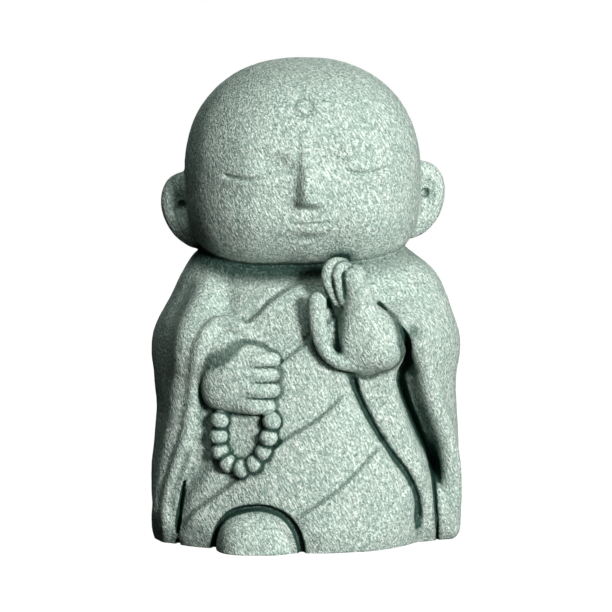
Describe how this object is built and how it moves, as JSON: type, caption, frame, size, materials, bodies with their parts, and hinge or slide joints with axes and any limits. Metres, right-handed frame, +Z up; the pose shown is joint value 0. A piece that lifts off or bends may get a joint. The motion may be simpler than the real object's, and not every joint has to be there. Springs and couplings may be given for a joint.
{
  "type": "monk figurine",
  "caption": "Small standing monk figurine of cast green sandstone, with a large shaven head, big ears, prayer beads in one hand and the other hand raised to the chin.",
  "frame": {"origin": "middle of the flat underside, on the surface that the figurine stands on", "axes": "+Z up through the head, the figure faces -Y, and its right hand, which holds the beads, is on the -X side"},
  "size_m": [0.0518, 0.0398, 0.08],
  "materials": {
    "green_sandstone": "matte, fine-grained, light and dark mineral flecks, dark green wash in the carved lines"
  },
  "bodies": {
    "root": {"monk_figurine": "green_sandstone"}
  },
  "joints": []
}
